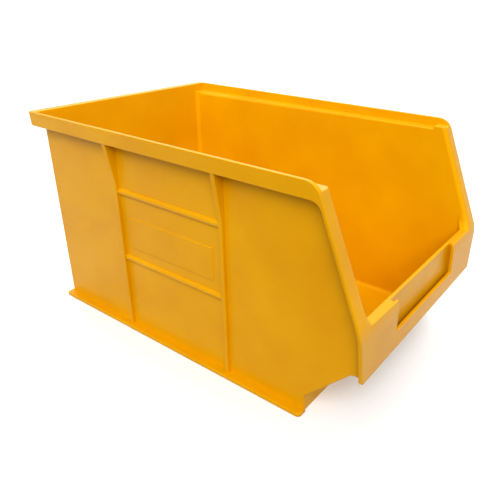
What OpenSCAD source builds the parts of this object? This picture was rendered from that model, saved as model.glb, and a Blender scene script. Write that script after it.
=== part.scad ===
// Semi-open-front storage bin that stacks on its own rim and hooks over a louvre panel.
// The real bin is one injection moulding. Each region of that moulding is a closed solid
// here, and the regions meet face to face.
// +X is the bin's right as seen from its open front, -Y is the front, +Z is up.
// The origin is at the middle of the base, on the surface the bin stands on.

/* [Overall] */
// Width over the rims
bin_w = 150; // [130:1:190]
// Length from the front plate to the rear lip
bin_l = 240; // [215:1:300]
// Height from the base to the ledge that carries the bin above
stack_h = 125; // [110:1:160]
// Height of the guard that stands above the ledge
guard_h = 6; // [4:0.5:10]

/* [Walls] */
// Thickness of the walls, measured level
wall_t = 2.0; // [1.6:0.1:3]
// Thickness of the floor
floor_t = 2.4; // [1.6:0.1:4]
// Draft of the walls, degrees from upright
wall_draft = 0.5; // [0:0.1:1.5]
// Outer radius of the two rear upright corners at the floor
corner_r = 5; // [3.5:0.5:12]

/* [Rim] */
// Reach of the side rims beyond the top of the side walls
side_reach = 7; // [6:0.5:10]
// Reach of the rear rim beyond the top of the back wall
rear_reach = 4; // [3.5:0.5:8]
// Thickness of the ledge
ledge_t = 2.6; // [2:0.1:4]
// Radius of the ledge's inner top edge
ledge_r = 2; // [1:0.1:2]
// Thickness of the guard, the rear skirt and the rear top strip
guard_t = 2.0; // [1.5:0.1:2.5]
// Outer radius of the rim's two rear corners
rim_corner_r = 4; // [3:0.5:8]
// Depth of the hanging lip below the rear skirt
lip_drop = 9; // [6:0.5:20]
// Distance from the rim's side to the end of the hanging lip
lip_inset = 15; // [10:1:30]
// Clearance from a seated base rail to the guard beside it
rail_side_gap = 1; // [0.5:0.1:2]
// Free travel of a seated base rail between the rear rim and the stops
rail_end_gap = 0.5; // [0.5:0.1:3]
// Height of the stack stops above the ledge
stop_h = 2; // [1:0.1:3]

/* [Mouth] */
// Distance from the front plate back to the top of the mouth
mouth_setback = 26; // [20:1:45]
// Height of the top of the front plate
sill_h = 64.7; // [58:0.1:76]
// Height of the bottom of the front plate
plate_bottom_h = 37.5; // [30:0.5:42]
// Thickness of the mouth flanges and the front plate, measured level
flange_t = 2.1; // [1.6:0.1:3]
// Radius where the rim's top runs into the mouth flange
rim_end_r = 6; // [3:0.5:6]
// Radius below the rim where it runs into the mouth flange
rim_web_r = 5; // [2:0.5:8]
// Amount that the front plate narrows on each side at its bottom
plate_taper = 4; // [0:0.5:6]
// Radius of the front plate's bottom corners
plate_corner_r = 1.2; // [0.6:0.1:6]

/* [Label holder] */
// Width of the window in the front plate
window_w = 74; // [60:1:90]
// Height of the window's bottom edge
window_bottom_h = 48; // [44:0.5:52]
// Gap behind the front plate, where the card goes
card_gap = 1.9; // [1:0.1:3]
// Depth of the card slot behind each side of the window
card_tuck = 2.5; // [1:0.5:4]
// Height of the front wall above the front plate
wall_rise = 1.5; // [0:0.5:4]
// Thickness of the top returns and the card guides
return_t = 2; // [1.5:0.1:3]

/* [Base] */
// Distance from the front plate back to the front of the base
base_setback = 34.5; // [30:0.5:60]
// Height of the upright step at the front of the base
step_h = 10.6; // [6:0.1:16]
// Radius where the scoop runs level
scoop_r = 5; // [4:0.5:10]
// Distance that the base rails reach in front of the base
rail_nose = 1; // [0:0.1:2]
// Radius of the base rails' ends
rail_end_r = 2.2; // [1:0.1:4]

/* [Side ribs] */
// Thickness of an upright rib, front to back
rib_t = 2.7; // [1.5:0.1:4]
// Height of a rib's crest above the wall
rib_p = 2.6; // [1.5:0.1:4]
// Place of the front rib's front face, ahead of the middle of the length
front_rib_y = 36; // [20:1:60]
// Place of the rear rib's front face, behind the middle of the length
rear_rib_y = 46; // [20:1:80]
// Height of the flare below the ledge, where a rib widens to the rim
flare_h = 25; // [10:1:40]
// Height of the lower cross rib
low_cross_h = 50; // [35:1:55]
// Height of the upper cross rib
high_cross_h = 93; // [82:1:96]
// Width of a cross rib, up and down
cross_w = 4.4; // [2:0.1:6]
// Height of a cross rib's crest above the wall
cross_p = 1.7; // [1:0.1:2.5]
// Height of the plaque's bottom edge
plaque_bottom_h = 58; // [58:0.5:62]
// Height of the plaque
plaque_h = 20; // [12:0.5:21]
// Distance from the ribs to the ends of the plaque
plaque_inset = 7; // [2:0.5:20]
// Relief of the plaque
plaque_p = 0.5; // [0.3:0.1:1]

/* [Hidden] */

ARC_STEPS = 8;
$fn = 64;

// Heights
web_h = stack_h - ledge_t;
bin_h = stack_h + guard_h;
strip_h = bin_h - guard_t;

// Outer faces of the side walls and the back wall, at a height
lean = tan(wall_draft);
function side_x(z) = bin_w / 2 - side_reach - (web_h - z) * lean;
function back_y(z) = bin_l / 2 - rear_reach - (web_h - z) * lean;
floor_x = side_x(floor_t);
floor_y = back_y(floor_t);
corner_x = floor_x - corner_r;
corner_y = floor_y - corner_r;
rim_back_y = back_y(web_h) - wall_t;

// Rim
guard_x = bin_w / 2 - guard_t;
ledge_x = side_x(web_h) - wall_t;
skirt_y = bin_l / 2 - guard_t;

// Base rails, which seat inside the guards of the bin below
rail_x = guard_x - rail_side_gap;
base_front_y = base_setback - bin_l / 2;
rail_front_y = base_front_y - rail_nose;
rail_back_y = floor_y - 0.2;
rail_l = rail_back_y - rail_front_y;
// The stop stands on a tenth of a millimetre
stop_y = round(10 * (rim_back_y - rail_l - rail_end_gap)) / 10;

// Mouth: its front face leans back from the top of the front plate to the top of the rim
plate_y = -bin_l / 2;
plate_back_y = plate_y + flange_t;
front_wall_y = plate_back_y + card_gap;
mouth_lean = mouth_setback / (bin_h - sill_h);
function mouth_y(z) = plate_y + (z - sill_h) * mouth_lean;
mouth_turn = 90 - atan(mouth_lean);

// Front wall and scoop
front_wall_h = sill_h + wall_rise;
shelf_top_h = plate_bottom_h + wall_t;

function arc(cy, cz, r, a0, a1) =
    [for (i = [0:ARC_STEPS]) let (a = a0 + (a1 - a0) * i / ARC_STEPS) [cy + r * cos(a), cz + r * sin(a)]];

// A side-view outline, given as [y, z] points, made solid from x0 to x1
module across(x0, x1) {
    translate([x0, 0, 0]) rotate([90, 0, 90]) linear_extrude(x1 - x0) children();
}

// A front-view outline, given as [x, z] points, made solid from y0 to y1
module along(y0, y1) {
    translate([0, y1, 0]) rotate([90, 0, 0]) linear_extrude(y1 - y0) children();
}

module on_left() { mirror([1, 0, 0]) children(); }

// Front-view band beside the right wall, from inner to outer offsets of its outer face
module wall_band(z0, z1, inner, outer) {
    polygon([[side_x(z0) + inner, z0], [side_x(z0) + outer, z0],
             [side_x(z1) + outer, z1], [side_x(z1) + inner, z1]]);
}

// Space between the side walls' inner faces, made solid from y0 to y1
module inside_width(y0, y1, z0, z1) {
    inner0 = side_x(z0) - wall_t;
    inner1 = side_x(z1) - wall_t;
    along(y0, y1) polygon([[-inner0, z0], [inner0, z0], [inner1, z1], [-inner1, z1]]);
}

// Underside of the front: an upright step, a 45 degree slope, then a level shelf,
// listed from the base to the shelf. An offset moves the line into the bin.
function scoop_line(offset) =
    let (step_y = base_front_y + offset,
         turn_y = base_front_y - (plate_bottom_h - step_h) - scoop_r * tan(22.5))
    concat([[step_y, floor_t], [step_y, step_h + offset * tan(22.5)]],
        arc(turn_y, plate_bottom_h - scoop_r, scoop_r + offset, 45, 90));

// Everything in front of and below that line
module under_scoop(offset) {
    front_y = plate_y - flange_t;
    polygon(concat(scoop_line(offset), [[front_y, plate_bottom_h + offset], [front_y, floor_t]]));
}

// Plan of the whole rim, with its rear corners rounded
module rim_plan() {
    r = rim_corner_r;
    translate([-bin_w / 2, plate_y]) square([bin_w, bin_l - r]);
    translate([r - bin_w / 2, bin_l / 2 - r]) square([bin_w - 2 * r, r]);
    for (s = [-1, 1]) translate([s * (bin_w / 2 - r), bin_l / 2 - r]) circle(r);
}

module floor_plate() {
    color("orange") translate([-floor_x, base_front_y, 0])
        cube([2 * floor_x, floor_y - base_front_y, floor_t]);
}

// Rail that the bin stands and slides on, with round outer ends
module base_rail() {
    r = rail_end_r;
    color("gold") linear_extrude(floor_t) intersection() {
        translate([floor_x, rail_front_y]) square([rail_x - floor_x, rail_l]);
        union() {
            translate([floor_x, rail_front_y]) square([rail_x - r - floor_x, rail_l]);
            translate([rail_x - r, rail_front_y + r]) square([r, rail_l - 2 * r]);
            for (y = [rail_front_y + r, rail_back_y - r]) translate([rail_x - r, y]) circle(r);
        }
    }
}
module base_rail_right() { base_rail(); }
module base_rail_left() { on_left() base_rail(); }

module side_wall() {
    color("goldenrod") intersection() {
        along(plate_back_y, corner_y) wall_band(floor_t, web_h, -wall_t, 0);
        across(0, bin_w / 2) difference() {
            polygon([[corner_y, floor_t], [corner_y, web_h], [mouth_y(web_h) + flange_t, web_h],
                     [plate_back_y, sill_h], [plate_back_y, floor_t]]);
            under_scoop(0);
        }
    }
}
module side_wall_right() { side_wall(); }
module side_wall_left() { on_left() side_wall(); }

// Quarter of a conical shell, so the corner has the walls' draft
module rear_corner() {
    h = web_h - floor_t;
    r_top = corner_r + h * lean;
    color("darkorange") translate([corner_x, corner_y, floor_t]) intersection() {
        difference() {
            cylinder(h = h, r1 = corner_r, r2 = r_top);
            cylinder(h = h, r1 = corner_r - wall_t, r2 = r_top - wall_t);
        }
        cube([2 * r_top, 2 * r_top, h]);
    }
}
module rear_corner_right() { rear_corner(); }
module rear_corner_left() { on_left() rear_corner(); }

module back_wall() {
    color("goldenrod") across(-corner_x, corner_x) polygon([
        [floor_y - wall_t, floor_t], [floor_y, floor_t],
        [back_y(web_h), web_h], [rim_back_y, web_h]]);
}

module front_scoop() {
    color("orange") intersection() {
        inside_width(plate_back_y, base_front_y + wall_t, floor_t, web_h);
        across(-bin_w / 2, bin_w / 2) difference() {
            under_scoop(wall_t);
            under_scoop(0);
        }
    }
}

module front_wall() {
    color("goldenrod") intersection() {
        inside_width(front_wall_y, front_wall_y + wall_t, floor_t, web_h);
        across(-bin_w / 2, bin_w / 2) difference() {
            translate([front_wall_y, floor_t]) square([wall_t, front_wall_h - floor_t]);
            under_scoop(wall_t);
        }
    }
}

// Ledge that carries the rail of the bin above, with a fillet in its rear corner
module stack_ledge() {
    r = ledge_r;
    color("gold") union() {
        along(stop_y, rim_back_y) polygon(concat(
            [[ledge_x, web_h], [guard_x, web_h], [guard_x, stack_h]],
            arc(ledge_x + r, stack_h - r, r, 90, 180)));
        translate([corner_x, corner_y, web_h]) difference() {
            cube([ledge_x - corner_x, rim_back_y - corner_y, ledge_t]);
            cylinder(h = 3 * ledge_t, r = ledge_x - corner_x, center = true);
        }
    }
}
module stack_ledge_right() { stack_ledge(); }
module stack_ledge_left() { on_left() stack_ledge(); }

// Upright guard outside the ledge, rounded down into the mouth flange at its front end
module rim_guard() {
    lean_len = 1 / cos(atan(mouth_lean));
    end_z = bin_h - rim_end_r;
    web_z = web_h - rim_web_r;
    color("yellow") intersection() {
        across(guard_x, bin_w / 2) polygon(concat(
            [[bin_l / 2, web_h], [bin_l / 2, bin_h]],
            arc(mouth_y(end_z) + rim_end_r * lean_len, end_z, rim_end_r, 90, 90 + mouth_turn),
            [[mouth_y(stack_h), stack_h], [mouth_y(stack_h) + flange_t, stack_h]],
            arc(mouth_y(web_z) + flange_t + rim_web_r * lean_len, web_z, rim_web_r,
                90 + mouth_turn, 90)));
        linear_extrude(2 * bin_h) rim_plan();
    }
}
module rim_guard_right() { rim_guard(); }
module rim_guard_left() { on_left() rim_guard(); }

// Raised front end of the ledge, which stops the bin above from sliding forward
module stack_stop() {
    top_h = stack_h + stop_h;
    color("gold") across(ledge_x, guard_x) polygon([
        [stop_y, web_h], [stop_y, top_h], [mouth_y(top_h), top_h], [mouth_y(stack_h), stack_h],
        [mouth_y(stack_h) + flange_t, stack_h], [mouth_y(web_h) + flange_t, web_h]]);
}
module stack_stop_right() { stack_stop(); }
module stack_stop_left() { on_left() stack_stop(); }

module rear_rim_wall() {
    color("goldenrod") translate([-guard_x, rim_back_y, web_h])
        cube([2 * guard_x, wall_t, strip_h - web_h]);
}

module rear_rim_strip() {
    color("yellow") translate([-guard_x, rim_back_y, strip_h])
        cube([2 * guard_x, skirt_y - rim_back_y, guard_t]);
}

module rear_skirt() {
    color("gold") intersection() {
        translate([-guard_x, skirt_y, web_h]) cube([2 * guard_x, guard_t, bin_h - web_h]);
        linear_extrude(2 * bin_h) rim_plan();
    }
}

// Lip that hooks over a louvre
module hanging_lip() {
    half = bin_w / 2 - lip_inset;
    color("orange") translate([-half, skirt_y, web_h - lip_drop]) cube([2 * half, guard_t, lip_drop]);
}

// Sloping flange along the side of the mouth
module mouth_flange() {
    color("yellow") intersection() {
        across(0, bin_w / 2) polygon([
            [plate_y, sill_h], [mouth_y(stack_h), stack_h],
            [mouth_y(stack_h) + flange_t, stack_h], [plate_back_y, sill_h]]);
        along(plate_y, 0) polygon([
            [side_x(sill_h) - wall_t, sill_h], [bin_w / 2, sill_h],
            [bin_w / 2, stack_h], [ledge_x, stack_h], [ledge_x, web_h]]);
    }
}
module mouth_flange_right() { mouth_flange(); }
module mouth_flange_left() { on_left() mouth_flange(); }

// Front plate beside the window
module front_cheek() {
    taper = plate_taper / (sill_h - plate_bottom_h);
    r = plate_corner_r;
    corner_cx = bin_w / 2 - plate_taper + r * taper - r / cos(atan(taper));
    color("burlywood") along(plate_y, plate_back_y) polygon(concat(
        [[bin_w / 2, sill_h], [window_w / 2, sill_h], [window_w / 2, plate_bottom_h]],
        arc(corner_cx, plate_bottom_h + r, r, -90, -atan(taper))));
}
module front_cheek_right() { front_cheek(); }
module front_cheek_left() { on_left() front_cheek(); }

// Top of the cheek, which rises to the front wall behind it
module cheek_return() {
    return_x = window_w / 2 + card_tuck;
    color("gold") intersection() {
        inside_width(plate_back_y, front_wall_y, floor_t, web_h);
        across(return_x, bin_w / 2) polygon([
            [plate_back_y, sill_h - return_t], [plate_back_y, sill_h],
            [front_wall_y, front_wall_h], [front_wall_y, sill_h - return_t]]);
    }
}
module cheek_return_right() { cheek_return(); }
module cheek_return_left() { on_left() cheek_return(); }

// Upright side of the card pocket
module card_guide() {
    color("orange") translate([window_w / 2 + card_tuck, plate_back_y, shelf_top_h])
        cube([return_t, card_gap, sill_h - return_t - shelf_top_h]);
}
module card_guide_right() { card_guide(); }
module card_guide_left() { on_left() card_guide(); }

// Front plate below the window
module label_sill() {
    color("burlywood") translate([-window_w / 2, plate_y, plate_bottom_h])
        cube([window_w, flange_t, window_bottom_h - plate_bottom_h]);
}

// Upright rib from the base rail to the rim, which flares out below the ledge
module upright_rib(front_y) {
    flare_z = web_h - flare_h;
    color("darkorange") along(front_y, front_y + rib_t) polygon([
        [side_x(floor_t), floor_t], [side_x(floor_t) + rib_p, floor_t],
        [side_x(flare_z) + rib_p, flare_z], [bin_w / 2, web_h], [side_x(web_h), web_h]]);
}
module front_rib_right() { upright_rib(-front_rib_y); }
module front_rib_left() { on_left() upright_rib(-front_rib_y); }
module rear_rib_right() { upright_rib(rear_rib_y); }
module rear_rib_left() { on_left() upright_rib(rear_rib_y); }

// Two low ridges with a round crest, between the upright ribs
module cross_ribs() {
    color("gold") along(rib_t - front_rib_y, rear_rib_y) for (z = [low_cross_h, high_cross_h])
        polygon(concat(
            [[side_x(z - cross_w / 2), z - cross_w / 2]],
            [for (i = [1:ARC_STEPS - 1]) let (a = 180 * i / ARC_STEPS - 90)
                [side_x(z + cross_w / 2 * sin(a)) + cross_p * cos(a), z + cross_w / 2 * sin(a)]],
            [[side_x(z + cross_w / 2), z + cross_w / 2]]));
}
module cross_ribs_right() { cross_ribs(); }
module cross_ribs_left() { on_left() cross_ribs(); }

// Blank raised plaque between the cross ribs
module side_plaque() {
    color("gold") along(rib_t - front_rib_y + plaque_inset, rear_rib_y - plaque_inset)
        wall_band(plaque_bottom_h, plaque_bottom_h + plaque_h, 0, plaque_p);
}
module side_plaque_right() { side_plaque(); }
module side_plaque_left() { on_left() side_plaque(); }

floor_plate();
base_rail_left();
base_rail_right();
side_wall_left();
side_wall_right();
rear_corner_left();
rear_corner_right();
back_wall();
front_scoop();
front_wall();
stack_ledge_left();
stack_ledge_right();
rim_guard_left();
rim_guard_right();
stack_stop_left();
stack_stop_right();
rear_rim_wall();
rear_rim_strip();
rear_skirt();
hanging_lip();
mouth_flange_left();
mouth_flange_right();
front_cheek_left();
front_cheek_right();
cheek_return_left();
cheek_return_right();
card_guide_left();
card_guide_right();
label_sill();
front_rib_left();
front_rib_right();
rear_rib_left();
rear_rib_right();
cross_ribs_left();
cross_ribs_right();
side_plaque_left();
side_plaque_right();
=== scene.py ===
import math

import bpy
from mathutils import Matrix, Vector


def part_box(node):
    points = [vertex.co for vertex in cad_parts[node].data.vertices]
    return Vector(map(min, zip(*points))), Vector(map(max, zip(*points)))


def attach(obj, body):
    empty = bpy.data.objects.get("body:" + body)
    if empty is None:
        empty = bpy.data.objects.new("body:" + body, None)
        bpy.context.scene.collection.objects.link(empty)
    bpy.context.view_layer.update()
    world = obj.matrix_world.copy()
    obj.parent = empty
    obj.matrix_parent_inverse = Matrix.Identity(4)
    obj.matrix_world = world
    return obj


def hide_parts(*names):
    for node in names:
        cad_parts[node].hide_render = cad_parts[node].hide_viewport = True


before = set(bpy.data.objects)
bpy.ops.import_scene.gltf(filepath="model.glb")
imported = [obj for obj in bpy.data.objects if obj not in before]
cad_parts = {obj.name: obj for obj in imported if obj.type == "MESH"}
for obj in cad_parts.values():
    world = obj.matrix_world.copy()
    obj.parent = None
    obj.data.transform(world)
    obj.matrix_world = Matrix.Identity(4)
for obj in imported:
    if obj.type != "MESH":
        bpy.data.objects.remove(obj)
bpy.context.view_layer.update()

MM = 0.001

# ---------------------------------------------------------------- sizes, read from the frame

floor_low, floor_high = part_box("floor_plate")
wall_low, wall_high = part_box("side_wall_right")
back_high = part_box("back_wall")[1]
front_low, front_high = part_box("front_wall")
cheek_low, cheek_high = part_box("front_cheek_right")
guard_low, guard_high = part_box("rim_guard_right")
ledge_low, ledge_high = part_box("stack_ledge_right")
stop_low, stop_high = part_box("stack_stop_right")
skirt_low, skirt_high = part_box("rear_skirt")
lip_low, lip_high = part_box("hanging_lip")
strip_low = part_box("rear_rim_strip")[0]
sill_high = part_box("label_sill")[1]
guide_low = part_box("card_guide_right")[0]
rail_low, rail_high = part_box("base_rail_right")
cross_low, cross_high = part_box("cross_ribs_right")
plaque_low, plaque_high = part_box("side_plaque_right")

half_width = guard_high.x
rim_bottom = skirt_low.z
rim_top = guard_high.z
draft = (wall_high.x - floor_high.x) / (rim_bottom - floor_high.z)
wall = floor_high.x - wall_low.x
plate = cheek_high.y - cheek_low.y
CLEAR = 30 * MM

# ---------------------------------------------------------------- shapes that the solids leave square

# How far the mouth leans back, and how the scoop and the plate are shaped
MOUTH_SETBACK = 26 * MM
STEP_HEIGHT = 10.6 * MM
SCOOP_R = 5 * MM
SCOOP_SIDE_R = 2.5 * MM
PLATE_TAPER = 4 * MM
PLATE_FOOT_R = 1.2 * MM
BEND_R = 4 * MM

# The tub's corners, inside and out
REAR_R = 2.5 * MM
INSIDE_REAR_R = 3 * MM
INSIDE_FRONT_R = 4.5 * MM
FLOOR_R = 2.5 * MM

# The mouth's opening, and the sweep of its edge out to the front
OPENING_R = 5 * MM
OPENING_DEPTH = 12 * MM
FLARE_R = 3 * MM
SADDLE_GAP = 0.3 * MM
SADDLE_DEPTH = 10 * MM

# The rim, its ledges and its rear face
RIM_FRONT_R = 6 * MM
REAR_EDGE_R = 2 * MM
LEDGE_R = 1.8 * MM
WEB_R = 4 * MM
REAR_LEAN = 0.13
REAR_BAND = 2 * MM

# How far the ribs and the plaque stand off the wall
RIB_CREST = 2.6 * MM
RIB_FLARE = 25 * MM
RIB_ROOT = 3 * MM
CROSS_R = 2.2 * MM
CROSS_CREST = 1.7 * MM
PLAQUE_CREST = 0.5 * MM
RAIL_END_R = 2.2 * MM

# Rounding of the small edges, and the shortest edge that it can follow
SHELL_EDGE = 0.4 * MM
LIP_EDGE = 0.6 * MM
PIECE_EDGE = 0.5 * MM
CROSS_EDGE = 0.3 * MM
SHORTEST_EDGE = 0.15 * MM
SHARP = math.radians(35)

mouth_lean = MOUTH_SETBACK / (rim_top - cheek_high.z)
mitre = math.tan(math.radians(22.5))


def side_x(z):
    """Outer face of a side wall at height z."""
    return floor_high.x + (z - floor_high.z) * draft


def back_y(z):
    """Outer face of the back wall at height z."""
    return floor_high.y + (z - floor_high.z) * draft


def mouth_y(z):
    """Front face of the sloping mouth at height z."""
    return cheek_low.y + (z - cheek_high.z) * mouth_lean


# ---------------------------------------------------------------- working with meshes


def pick_only(piece):
    bpy.ops.object.select_all(action="DESELECT")
    piece.select_set(True)
    bpy.context.view_layer.objects.active = piece


def block(name, low, high):
    """A cube shaped to two opposite corners, with its place in its mesh."""
    low, high = Vector(low), Vector(high)
    bpy.ops.object.select_all(action="DESELECT")
    bpy.ops.mesh.primitive_cube_add(size=1, location=(low + high) / 2, scale=high - low)
    piece = bpy.context.object
    piece.name = name
    bpy.ops.object.transform_apply(location=True, rotation=True, scale=True)
    return piece


def side_block(name, side, low, high):
    """The same for a shape given on the right, made on either side."""
    xs = sorted((side * low[0], side * high[0]))
    return block(name, (xs[0], low[1], low[2]), (xs[1], high[1], high[2]))


def bar(name, centre_x, centre_z, radius, low_y, high_y, sides=48):
    """A round bar along Y."""
    bpy.ops.object.select_all(action="DESELECT")
    bpy.ops.mesh.primitive_cylinder_add(
        vertices=sides, radius=radius, depth=high_y - low_y,
        location=(centre_x, (low_y + high_y) / 2, centre_z), rotation=(math.pi / 2, 0, 0))
    piece = bpy.context.object
    piece.name = name
    bpy.ops.object.transform_apply(location=True, rotation=True, scale=True)
    return piece


def slice_off(piece, point, normal):
    """Cuts away what lies beyond a plane, on the side that its normal points to."""
    pick_only(piece)
    bpy.ops.object.mode_set(mode="EDIT")
    bpy.ops.mesh.select_all(action="SELECT")
    bpy.ops.mesh.bisect(plane_co=point, plane_no=Vector(normal).normalized(), use_fill=True,
                        clear_outer=True)
    bpy.ops.object.mode_set(mode="OBJECT")
    return piece


def round_edges(piece, wanted, radius, segments=6):
    """Rounds the edges whose two ends pass the test."""
    pick_only(piece)
    bpy.ops.object.mode_set(mode="EDIT")
    bpy.ops.mesh.select_mode(type="EDGE")
    bpy.ops.mesh.select_all(action="DESELECT")
    bpy.ops.object.mode_set(mode="OBJECT")
    points = piece.data.vertices
    for edge in piece.data.edges:
        a, b = (points[i].co for i in edge.vertices)
        edge.select = wanted(a, b)
    bpy.ops.object.mode_set(mode="EDIT")
    bpy.ops.mesh.bevel(offset=radius, offset_type="OFFSET", segments=segments, affect="EDGES")
    bpy.ops.object.mode_set(mode="OBJECT")
    return piece


def pick_faces(piece, wanted):
    """Enters edit mode with only the wanted faces selected."""
    pick_only(piece)
    bpy.ops.object.mode_set(mode="EDIT")
    bpy.ops.mesh.select_mode(type="FACE")
    bpy.ops.mesh.select_all(action="DESELECT")
    bpy.ops.object.mode_set(mode="OBJECT")
    for polygon in piece.data.polygons:
        polygon.select = wanted(polygon)
    bpy.ops.object.mode_set(mode="EDIT")


def stretch(piece, factors, centre):
    pick_only(piece)
    bpy.ops.object.mode_set(mode="EDIT")
    bpy.ops.mesh.select_all(action="SELECT")
    bpy.ops.transform.resize(value=factors, center_override=centre)
    bpy.ops.object.mode_set(mode="OBJECT")
    return piece


def tidy_faces(piece):
    """Joins faces that lie in one plane, and points that lie in one place."""
    pick_only(piece)
    bpy.ops.object.mode_set(mode="EDIT")
    bpy.ops.mesh.select_all(action="SELECT")
    bpy.ops.mesh.remove_doubles(threshold=0.002 * MM)
    bpy.ops.mesh.dissolve_limited(angle_limit=math.radians(0.1))
    bpy.ops.object.mode_set(mode="OBJECT")
    return piece


def combine(piece, other, operation):
    pick_only(piece)
    change = piece.modifiers.new(operation.lower(), "BOOLEAN")
    change.operation = operation
    change.solver = "EXACT"
    change.object = other
    bpy.ops.object.modifier_apply(modifier=change.name)
    bpy.data.objects.remove(other)
    return piece


def fuse(piece, *others):
    for other in others:
        combine(piece, other, "UNION")
    return piece


def cut(piece, *tools):
    for tool in tools:
        combine(piece, tool, "DIFFERENCE")
    return piece


def near(a, b, slack=0.05 * MM):
    return abs(a - b) < slack


# ---------------------------------------------------------------- the moulding


def drafted_block(name, inset, front_y, bottom_z, top_z, lean=draft):
    """A block with leaning sides and back, inset from the outer faces of the walls."""
    body = block(name, (-2 * half_width, front_y, bottom_z), (2 * half_width, 2 * half_width, top_z))
    for side in (-1, 1):
        slice_off(body, (side * (side_x(bottom_z) - inset), 0, bottom_z), (side, 0, -lean))
    return slice_off(body, (0, back_y(bottom_z) - inset, bottom_z), (0, 1, -lean))


def is_upright(a, b):
    return abs(a.z - b.z) > 20 * MM


def scoop_void(offset):
    """The space under the front: an upright step, then a slope that runs level."""
    top_z = cheek_low.z + offset
    rear_y = floor_low.y + offset
    slope = top_z - STEP_HEIGHT - offset * mitre
    void = block("scoop_void", (-2 * half_width, cheek_low.y - CLEAR, -CLEAR),
                 (2 * half_width, rear_y, top_z))
    round_edges(void, lambda a, b: near(a.y, rear_y) and near(b.y, rear_y)
                and near(a.z, top_z) and near(b.z, top_z), slope, segments=1)
    turn_y = rear_y - slope
    return round_edges(void, lambda a, b: near(a.y, turn_y) and near(b.y, turn_y)
                       and near(a.z, top_z) and near(b.z, top_z), (SCOOP_R + offset) * mitre)


def mouth_block(name, depth, low_z, high_z):
    """A block whose front leans back above the plate, at a depth behind the front faces."""
    front_y = cheek_low.y + depth
    front = block(name, (-half_width, front_y, low_z), (half_width, 2 * half_width, high_z))
    slice_off(front, (0, front_y, cheek_high.z), (0, -1, mouth_lean))
    return round_edges(front, lambda a, b: near(a.y, front_y) and near(b.y, front_y)
                       and near(a.z, cheek_high.z) and near(b.z, cheek_high.z), BEND_R, segments=5)


def outer_tub():
    body = drafted_block("bin_moulding", 0, cheek_low.y + MM, 0, rim_bottom + MM)
    round_edges(body, lambda a, b: is_upright(a, b) and a.y > 0, REAR_R, segments=8)
    cut(body, scoop_void(0))
    return round_edges(body, lambda a, b: near(a.y, floor_low.y) and near(b.y, floor_low.y)
                       and abs(a.z - b.z) > 5 * MM, SCOOP_SIDE_R)


def front_frame():
    """The front plate and the mouth flange above it, before the mouth is opened."""
    frame_slab = mouth_block("front_frame", 0, cheek_low.z, rim_top)
    inner = mouth_block("behind_frame", plate, cheek_low.z - CLEAR, rim_top + CLEAR)
    stretch(inner, (1.5, 1, 1), (0, 0, 0))
    cut(frame_slab, inner)
    height = cheek_high.z - cheek_low.z
    for side in (-1, 1):
        slice_off(frame_slab, (side * half_width, 0, cheek_high.z), (side * height, 0, -PLATE_TAPER))
    return round_edges(frame_slab, lambda a, b: near(a.z, cheek_low.z) and near(b.z, cheek_low.z)
                       and near(a.x, b.x), PLATE_FOOT_R, segments=4)


def rim():
    """The ring round the top, with its rear corners rounded and its rear face leaning."""
    ring = block("rim", (-half_width, mouth_y(rim_bottom), rim_bottom),
                 (half_width, skirt_high.y, rim_top))
    slice_off(ring, (0, skirt_high.y, rim_top - REAR_BAND), (0, 1, -REAR_LEAN))
    return round_edges(ring, lambda a, b: a.y > skirt_low.y and b.y > skirt_low.y
                       and near(a.x, b.x) and not near(a.z, b.z), REAR_R)


def tub_hollow():
    """The inside of the tub, with round upright corners and a round foot to its walls."""
    hollow = drafted_block("hollow", wall, front_high.y, floor_high.z, rim_top + CLEAR)
    round_edges(hollow, lambda a, b: is_upright(a, b) and a.y > 0, INSIDE_REAR_R, segments=8)
    round_edges(hollow, lambda a, b: is_upright(a, b) and a.y < 0, INSIDE_FRONT_R, segments=8)
    round_edges(hollow, lambda a, b: near(a.z, floor_high.z) and near(b.z, floor_high.z), FLOOR_R)
    return cut(hollow, scoop_void(wall))


def front_saddle():
    """The top of the front wall, which rises from the plate's edge to the inside."""
    low_z = cheek_high.z - SADDLE_DEPTH
    crest_y = front_low.y - SADDLE_GAP
    saddle = block("saddle", (-half_width, cheek_low.y - MM, low_z),
                   (half_width, front_high.y + CLEAR, front_high.z))
    rise = front_high.z - cheek_high.z
    return slice_off(saddle, (0, crest_y, front_high.z), (0, -rise, crest_y - cheek_low.y))


def mouth_opening():
    """The opening above the front wall, whose sides flare out to the front in a round edge."""
    low_z = cheek_high.z
    drawn = 2.4  # how much taller than wide its lower corners are
    steps = 7
    opening = drafted_block("opening", wall, cheek_low.y - CLEAR, low_z, rim_top + 5 * MM,
                            lean=draft * drawn)
    slice_off(opening, (0, mouth_y(rim_top) + OPENING_DEPTH, 0), (0, 1, 0))
    round_edges(opening, lambda a, b: near(a.z, low_z) and near(b.z, low_z) and near(a.x, b.x),
                OPENING_R, segments=10)
    stretch(opening, (1, 1, drawn), (0, 0, low_z))
    slice_off(opening, (0, mouth_y(low_z) + FLARE_R, low_z), (0, -1, mouth_lean))
    cut(opening, front_saddle())
    facing = Vector((0, -1, mouth_lean)).normalized()
    width = 2 * (side_x(low_z) - wall)
    pick_faces(opening, lambda polygon: polygon.normal.dot(facing) > 0.999)
    grown = 1.0
    for step in range(1, steps + 1):
        turn = math.pi / 2 * step / steps
        forward_y = FLARE_R * (math.sin(turn) - math.sin(turn - math.pi / 2 / steps))
        factor = (width + 2 * FLARE_R * (1 - math.cos(turn))) / width
        bpy.ops.mesh.extrude_region_move(TRANSFORM_OT_translate={"value": (0, -forward_y, 0)})
        bpy.ops.transform.resize(value=(factor / grown, 1, 1), center_override=(0, 0, 0))
        grown = factor
    bpy.ops.mesh.extrude_region_move(TRANSFORM_OT_translate={"value": (0, -CLEAR, 0)})
    bpy.ops.object.mode_set(mode="OBJECT")
    return opening


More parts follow.
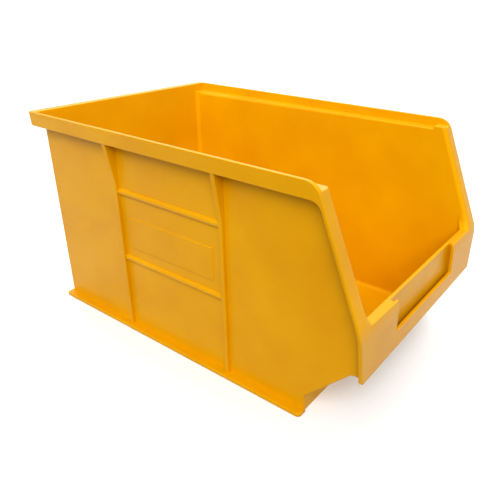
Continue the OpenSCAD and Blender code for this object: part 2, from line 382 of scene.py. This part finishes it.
def ledge_cuts(side):
    inner = ledge_low.x * 0.9
    return (
        side_block("ledge_cut", side, (inner, stop_low.y - CLEAR, stop_high.z),
                   (guard_low.x, ledge_high.y, rim_top + CLEAR)),
        side_block("ledge_cut", side, (inner, ledge_low.y, ledge_high.z),
                   (guard_low.x, ledge_high.y, rim_top + CLEAR)))


def shell():
    """The tub with its rim, flanges and front plate, which the moulding has in one piece."""
    body = outer_tub()
    fuse(body, rim())
    combine(body, mouth_block("mouth_limit", MM, -CLEAR, rim_top + CLEAR), "INTERSECT")
    fuse(body, front_frame())
    tidy_faces(body)
    web_y = mouth_y(rim_bottom) + plate
    round_edges(body, lambda a, b: near(a.z, rim_bottom) and near(b.z, rim_bottom)
                and near(a.y, web_y, 0.2 * MM) and near(b.y, web_y, 0.2 * MM), WEB_R)
    cut(body, tub_hollow())
    cut(body, mouth_opening())
    tidy_faces(body)
    for side in (-1, 1):
        cut(body, *ledge_cuts(side))
    tidy_faces(body)
    ledge_edge_x = side_x(ledge_high.z) - wall
    round_edges(body, lambda a, b: near(a.z, ledge_high.z) and near(b.z, ledge_high.z)
                and near(abs(a.x), ledge_edge_x, 0.3 * MM) and near(abs(b.x), ledge_edge_x, 0.3 * MM)
                and abs(a.y - b.y) > MM and near(a.x, b.x, MM), LEDGE_R)
    rear_edge_y = back_y(rim_top) - wall
    round_edges(body, lambda a, b: near(a.z, rim_top) and near(b.z, rim_top)
                and near(a.y, rear_edge_y, 0.6 * MM) and near(b.y, rear_edge_y, 0.6 * MM)
                and abs(a.x - b.x) > 20 * MM, REAR_EDGE_R)
    cut(body, block("hook_channel", (-guard_low.x, back_high.y, rim_bottom - CLEAR),
                    (guard_low.x, skirt_low.y, strip_low.z)))
    pocket = block("pocket", (-guide_low.x, cheek_high.y, guide_low.z),
                   (guide_low.x, front_low.y, rim_top + CLEAR))
    fuse(pocket, block("window", (-sill_high.x, cheek_low.y - CLEAR, sill_high.z),
                       (sill_high.x, front_low.y, rim_top + CLEAR)))
    tidy_faces(pocket)
    cut(body, pocket)
    tidy_faces(body)
    top_y = mouth_y(rim_top)
    round_edges(body, lambda a, b: near(a.z, rim_top) and near(b.z, rim_top)
                and near(a.y, top_y, MM) and near(b.y, top_y, MM), RIM_FRONT_R)
    return body


def upright_rib(side, name):
    """A rib with a leaning crest, which flares out to the rim's edge at its top."""
    low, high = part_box(name)
    flare_z = rim_bottom - RIB_FLARE
    inner = floor_high.x - 0.5 * MM
    outer = half_width - 0.2 * MM
    root_z = rim_bottom + RIB_ROOT
    rib = side_block(name, side, (inner, low.y, floor_high.z - MM), (outer, high.y, flare_z))
    slice_off(rib, (side * (side_x(0) + RIB_CREST), 0, 0), (side, 0, -draft))
    pick_faces(rib, lambda polygon: polygon.normal.z > 0.9)
    bpy.ops.mesh.extrude_region_move(TRANSFORM_OT_translate={"value": (0, 0, rim_bottom - flare_z)})
    reach = side_x(flare_z) + RIB_CREST - inner
    bpy.ops.transform.resize(value=((outer - inner) / reach, 1, 1),
                             center_override=(side * inner, 0, 0))
    bpy.ops.mesh.extrude_region_move(TRANSFORM_OT_translate={"value": (0, 0, root_z - rim_bottom)})
    bpy.ops.object.mode_set(mode="OBJECT")
    return rib


def cross_rib(side, z, name):
    """A round-backed rib across the panel between the upright ribs."""
    centre_x = side * (side_x(z) + CROSS_CREST - CROSS_R)
    rib = bar(name, centre_x, z, CROSS_R, cross_low.y - MM, cross_high.y + MM)
    return slice_off(rib, (side * (side_x(z) - MM), 0, z), (-side, 0, draft))


def plaque(side, name):
    panel = side_block(name, side, (plaque_low.x - MM, plaque_low.y, plaque_low.z),
                       (plaque_high.x + MM, plaque_high.y, plaque_high.z))
    return slice_off(panel, (side * (side_x(0) + PLAQUE_CREST), 0, 0), (side, 0, -draft))


def base_rail(side, name):
    rail = side_block(name, side, (rail_low.x - MM, rail_low.y, rail_low.z), tuple(rail_high))
    return round_edges(rail, lambda a, b: near(abs(a.x), rail_high.x) and near(abs(b.x), rail_high.x)
                       and near(a.y, b.y), RAIL_END_R)


def lip():
    return block("rear_lip", tuple(lip_low), (lip_high.x, lip_high.y, lip_high.z + MM))


def in_flange_corner(a, b):
    """Whether an edge runs up the inside corner between the flange's back and a side wall."""
    for end in (a, b):
        behind = max(cheek_low.y, mouth_y(end.z)) + plate
        if abs(end.y - behind) > 0.3 * MM or not near(abs(end.x), side_x(end.z), 0.4 * MM):
            return False
    return True


def soften(piece, width, segments=3):
    """Small round edges, with shading that keeps the flat faces flat."""
    pick_only(piece)
    bpy.ops.object.mode_set(mode="EDIT")
    bpy.ops.mesh.select_mode(type="EDGE")
    bpy.ops.mesh.select_all(action="DESELECT")
    bpy.ops.mesh.edges_select_sharp(sharpness=SHARP)
    bpy.ops.object.mode_set(mode="OBJECT")
    points = piece.data.vertices
    weight = piece.data.attributes.new("bevel_weight_edge", "FLOAT", "EDGE")
    for edge in piece.data.edges:
        a, b = (points[i].co for i in edge.vertices)
        weight.data[edge.index].value = float(edge.select and not in_flange_corner(a, b))
    bevel = piece.modifiers.new("edges", "BEVEL")
    bevel.width = width
    bevel.segments = segments
    bevel.limit_method = "WEIGHT"
    bevel.use_clamp_overlap = False
    bpy.ops.object.modifier_apply(modifier=bevel.name)
    bpy.ops.object.shade_smooth_by_angle(angle=SHARP)
    shading = piece.modifiers.new("shading", "WEIGHTED_NORMAL")
    shading.keep_sharp = True
    bpy.ops.object.modifier_apply(modifier=shading.name)
    return piece


def merge_close(piece):
    """Merges points so close together that the rounding of their edge would fold over."""
    pick_only(piece)
    bpy.ops.object.mode_set(mode="EDIT")
    bpy.ops.mesh.select_all(action="SELECT")
    bpy.ops.mesh.remove_doubles(threshold=SHORTEST_EDGE)
    bpy.ops.object.mode_set(mode="OBJECT")
    return piece


pieces = []


def finish_piece(piece, edge_width, *nodes):
    """Rounds a piece's edges and puts it in the place of its CAD nodes."""
    soften(piece, edge_width)
    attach(piece, "root")
    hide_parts(*nodes)
    pieces.append(piece)


OWN_PIECES = ("base_rail", "front_rib", "rear_rib", "cross_ribs", "side_plaque", "hanging_lip")

finish_piece(merge_close(shell()), SHELL_EDGE,
             *[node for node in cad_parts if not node.startswith(OWN_PIECES)])
finish_piece(lip(), LIP_EDGE, "hanging_lip")
for side, hand in ((-1, "left"), (1, "right")):
    finish_piece(base_rail(side, "foot_rail_" + hand), PIECE_EDGE, "base_rail_" + hand)
    for place in ("front", "rear"):
        rib = upright_rib(side, place + "_rib_" + hand)
        rib.name = "upright_rib_" + place + "_" + hand
        finish_piece(rib, PIECE_EDGE, place + "_rib_" + hand)
    for place, z in (("low", cross_low.z + CROSS_R), ("high", cross_high.z - CROSS_R)):
        rib = cross_rib(side, z, "cross_rib_" + place + "_" + hand)
        finish_piece(rib, CROSS_EDGE, "cross_ribs_" + hand)
    finish_piece(plaque(side, "plaque_" + hand), PIECE_EDGE, "side_plaque_" + hand)


# ---------------------------------------------------------------- material

YELLOW = (0.66, 0.295, 0.0, 1)
PALE_YELLOW = (0.69, 0.32, 0.0, 1)
DEEP_YELLOW = (0.63, 0.27, 0.0, 1)


def noise(tree, place, scale, detail):
    """A cloudy pattern on the piece's own place, with so many clouds to a metre."""
    pattern = tree.nodes.new("ShaderNodeTexNoise")
    pattern.inputs["Scale"].default_value = scale
    pattern.inputs["Detail"].default_value = detail
    tree.links.new(place, pattern.inputs["Vector"])
    return pattern.outputs["Fac"]


def spread(tree, value, low, high, steps):
    """A ramp from a pattern's value to the given colours."""
    ramp = tree.nodes.new("ShaderNodeValToRGB")
    ramp.color_ramp.elements[0].position = low
    ramp.color_ramp.elements[1].position = high
    ramp.color_ramp.elements[0].color = steps[0]
    ramp.color_ramp.elements[1].color = steps[-1]
    if len(steps) == 3:
        ramp.color_ramp.elements.new((low + high) / 2).color = steps[1]
    tree.links.new(value, ramp.inputs["Fac"])
    return ramp.outputs["Color"]


def bump(tree, height, distance, strength, under=None):
    node = tree.nodes.new("ShaderNodeBump")
    node.inputs["Distance"].default_value = distance
    node.inputs["Strength"].default_value = strength
    tree.links.new(height, node.inputs["Height"])
    if under:
        tree.links.new(under, node.inputs["Normal"])
    return node.outputs["Normal"]


def grey(level):
    return (level, level, level, 1)


def satin_plastic():
    """Moulded polypropylene: cloudy pigment, a fine satin grain, and faint handling scuffs."""
    material = bpy.data.materials.new("satin_polypropylene")
    material.use_nodes = True
    tree = material.node_tree
    shader = tree.nodes["Principled BSDF"]
    place = tree.nodes.new("ShaderNodeTexCoord").outputs["Object"]
    pigment = spread(tree, noise(tree, place, 28, 4), 0.3, 0.7, (DEEP_YELLOW, YELLOW, PALE_YELLOW))
    tree.links.new(pigment, shader.inputs["Base Color"])
    drawn_out = tree.nodes.new("ShaderNodeMapping")
    drawn_out.inputs["Scale"].default_value = (1, 0.12, 1)
    tree.links.new(place, drawn_out.inputs["Vector"])
    scuffs = noise(tree, drawn_out.outputs["Vector"], 420, 6)
    tree.links.new(spread(tree, scuffs, 0.35, 0.72, (grey(0.39), grey(0.42), grey(0.48))),
                   shader.inputs["Roughness"])
    waves = bump(tree, noise(tree, place, 22, 2), 0.4 * MM, 0.35)
    grain = bump(tree, noise(tree, place, 1400, 3), 0.03 * MM, 0.5, waves)
    tree.links.new(grain, shader.inputs["Normal"])
    shader.inputs["Specular Tint"].default_value = (1.0, 0.7, 0.1, 1)
    shader.inputs["Specular IOR Level"].default_value = 0.34
    return material


plastic = satin_plastic()
for piece in pieces:
    piece.data.materials.clear()
    piece.data.materials.append(plastic)
    for polygon in piece.data.polygons:
        polygon.material_index = 0

# ---------------------------------------------------------------- studio

bpy.ops.object.select_all(action="DESELECT")
bpy.ops.mesh.primitive_plane_add(size=200, location=(0, 0, 0))
ground = bpy.context.object
ground.name = "studio_floor"
white = bpy.data.materials.new("studio_white")
white.use_nodes = True
white.node_tree.nodes["Principled BSDF"].inputs["Base Color"].default_value = (0.94, 0.94, 0.94, 1)
white.node_tree.nodes["Principled BSDF"].inputs["Roughness"].default_value = 0.8
ground.data.materials.append(white)
ground.visible_diffuse = False

world = bpy.data.worlds.new("studio")
bpy.context.scene.world = world
world.use_nodes = True
sky = world.node_tree
direction = sky.nodes.new("ShaderNodeTexCoord").outputs["Generated"]
height = sky.nodes.new("ShaderNodeSeparateXYZ")
sky.links.new(direction, height.inputs["Vector"])
level = sky.nodes.new("ShaderNodeMapRange")
level.inputs["From Min"].default_value = -0.5
level.inputs["From Max"].default_value = 0.5
sky.links.new(height.outputs["Z"], level.inputs["Value"])
shade = sky.nodes.new("ShaderNodeValToRGB")
shade.color_ramp.elements[0].position = 0.47
shade.color_ramp.elements[0].color = grey(0.16)
shade.color_ramp.elements[1].position = 0.48
shade.color_ramp.elements[1].color = grey(1.0)
shade.color_ramp.elements.new(0.62).color = grey(1.0)
shade.color_ramp.elements.new(0.8).color = grey(0.6)
sky.links.new(level.outputs["Result"], shade.inputs["Fac"])
sky.links.new(shade.outputs["Color"], sky.nodes["Background"].inputs["Strength"])
sky.nodes["Background"].inputs["Color"].default_value = (1, 1, 1, 1)

bpy.ops.object.light_add(type="SUN", location=(0, 0, 2))
sun = bpy.context.object
sun.name = "key"
sun.data.energy = 3.1
sun.data.angle = math.radians(40)
sun.rotation_euler = Vector((0.62, 0.42, -0.66)).to_track_quat("-Z", "Y").to_euler()

bpy.ops.object.light_add(type="SUN", location=(1, 1, 2))
back_light = bpy.context.object
back_light.name = "back_light"
back_light.data.energy = 1.5
back_light.data.angle = math.radians(60)
back_light.rotation_euler = Vector((-0.62, -0.42, -0.66)).to_track_quat("-Z", "Y").to_euler()

bpy.ops.object.light_add(type="AREA", location=(0, 0, 0.42))
fill = bpy.context.object
fill.name = "fill"
fill.data.shape = "RECTANGLE"
fill.data.size = 0.13
fill.data.size_y = 0.2
fill.data.energy = 0.5
fill.visible_camera = False

# ---------------------------------------------------------------- camera

camera_data = bpy.data.cameras.new("camera")
camera = bpy.data.objects.new("camera", camera_data)
bpy.context.scene.collection.objects.link(camera)
bpy.context.scene.camera = camera
camera_data.sensor_width = 36
camera_data.lens = 38.6
camera_data.shift_x = -0.081
camera_data.shift_y = -0.070
place = Vector((-0.2490, -0.2047, 0.2039))
heading, dip, roll = (math.radians(angle) for angle in (54.66, 22.99, 0.94))
ahead = Vector((math.sin(heading), math.cos(heading), 0))
forward = ahead * math.cos(dip) - Vector((0, 0, math.sin(dip)))
sideways = Vector((math.cos(heading), -math.sin(heading), 0))
up = sideways.cross(forward)
right = sideways * math.cos(roll) + up * math.sin(roll)
top = up * math.cos(roll) - sideways * math.sin(roll)
turned = Matrix((right, top, -forward)).transposed().to_4x4()
camera.matrix_world = Matrix.Translation(place) @ turned
camera_data.clip_start = 0.01

bpy.context.scene.view_settings.view_transform = "Standard"
